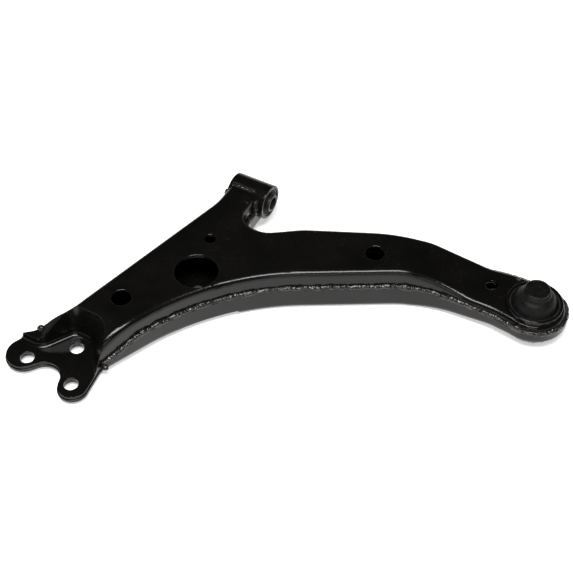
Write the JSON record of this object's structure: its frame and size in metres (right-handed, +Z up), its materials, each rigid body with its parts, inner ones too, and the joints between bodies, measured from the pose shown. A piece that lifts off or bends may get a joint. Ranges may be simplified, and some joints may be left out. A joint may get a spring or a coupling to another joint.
{
  "type": "suspension control arm",
  "caption": "L-shaped car suspension arm of two seam-welded steel pressings with a flat ball joint pad, a lying rubber bush in an eye and a standing rubber bush in a ring.",
  "frame": {"origin": "centre of the front bush's bore", "axes": "+X along the pivot axis from the front bush to the rear bush, +Z up, ball joint pad towards -Y"},
  "size_m": [0.426, 0.3107, 0.0483],
  "materials": {
    "black_paint": "satin",
    "painted_weld": "satin",
    "sleeve_steel": "satin",
    "core_steel": "satin",
    "bush_rubber": "matte"
  },
  "bodies": {
    "front_core": {"front_bush_inner_sleeve": "sleeve_steel"},
    "arm": {"upper_shell": "black_paint", "lower_shell": "black_paint", "front_eye_tube": "black_paint", "front_bush_outer_sleeve": "sleeve_steel", "front_bush_rubber": "bush_rubber", "rear_ring": "black_paint", "rear_bush_outer_sleeve": "sleeve_steel", "rear_bush_rubber": "bush_rubber", "seam_weld_front": "painted_weld", "seam_weld_outer": "painted_weld", "seam_weld_inner": "painted_weld", "seam_weld_end": "painted_weld", "eye_weld_top": "painted_weld", "eye_weld_bottom": "painted_weld", "eye_weld_rear": "painted_weld", "eye_weld_front": "painted_weld", "ring_weld": "painted_weld"},
    "rear_core": {"rear_bush_core": "core_steel"}
  },
  "joints": [
    {"name": "arm_swing", "type": "hinge", "parent": "front_core", "child": "arm", "pos_m": [0, 0, 0], "axis": [1, 0, 0], "range_deg": [-16, 16], "stiffness_Nm_per_rad": 180, "deforming": ["front_bush_rubber"]},
    {"name": "rear_core_tilt", "type": "hinge", "parent": "arm", "child": "rear_core", "pos_m": [0.2917, 0, 0], "axis": [1, 0, 0], "range_deg": [-16, 16], "deforming": ["rear_bush_rubber"]}
  ],
  "couplings": [
    {"joint": "rear_core_tilt", "follows": "arm_swing", "ratio": -1}
  ]
}
